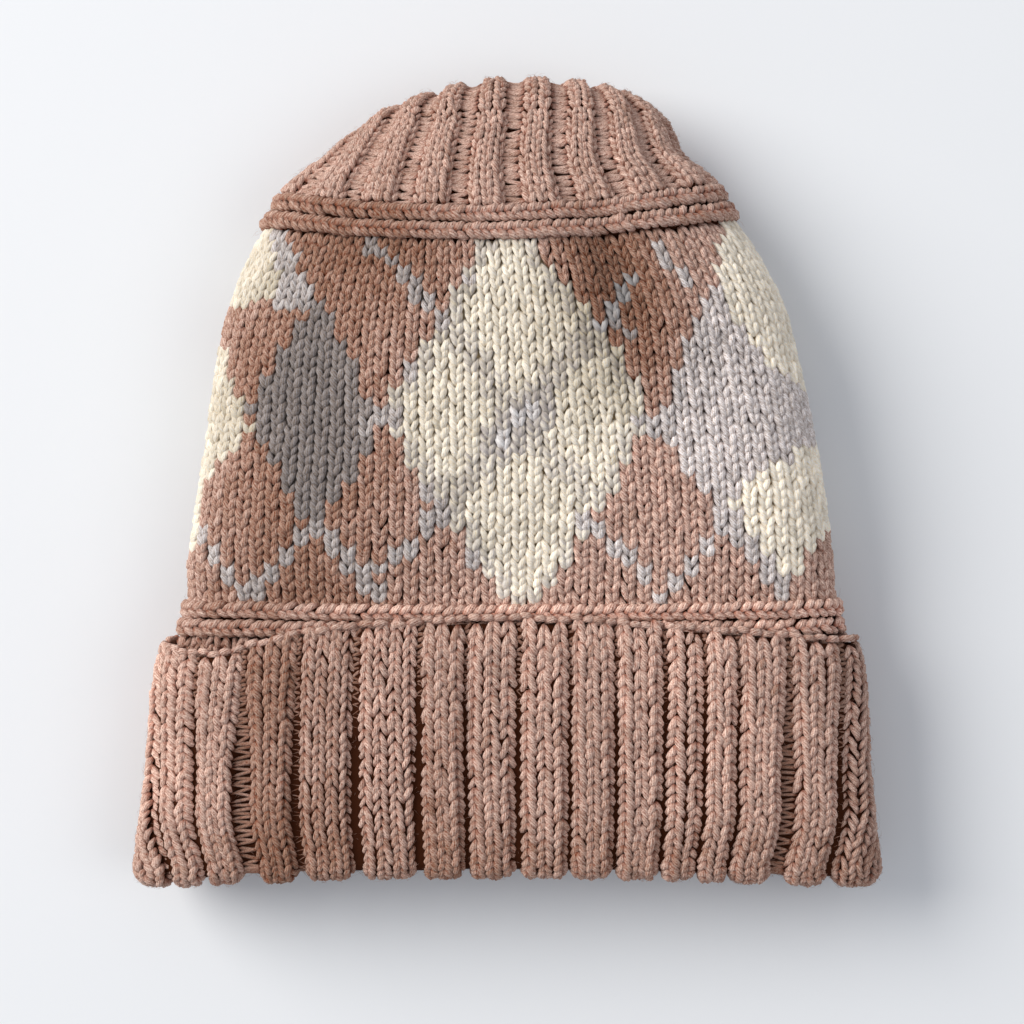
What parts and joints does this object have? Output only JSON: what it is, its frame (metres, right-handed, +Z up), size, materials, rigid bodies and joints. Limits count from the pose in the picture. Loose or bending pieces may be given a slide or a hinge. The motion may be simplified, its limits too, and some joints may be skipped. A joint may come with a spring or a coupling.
{
  "type": "knitted cuffed beanie hat",
  "caption": "Soft knitted hat lying flat: turned-up ribbed cuff, raised welts, diamond-patterned body and a ribbed, gathered crown, hollow and open at the mouth.",
  "frame": {"origin": "bottom centre of the hat's box, on the surface that it lies on", "axes": "+Y from the mouth to the crown, +X across the hat to the right as seen from above with the crown away from the viewer, +Z up from the surface"},
  "size_m": [0.223, 0.2394, 0.0475],
  "materials": {
    "rose_wool": "soft matt rose-beige wool yarn, plied, with a light fuzz",
    "cream_wool": "soft matt cream wool yarn, plied, with a light fuzz",
    "grey_wool": "soft matt pale grey wool yarn, plied, with a light fuzz"
  },
  "bodies": {
    "root": {"turned_up_cuff": "rose_wool", "lower_welt": "rose_wool", "patterned_body": "cream_wool", "upper_welt": "rose_wool", "ribbed_crown": "rose_wool"}
  },
  "joints": []
}
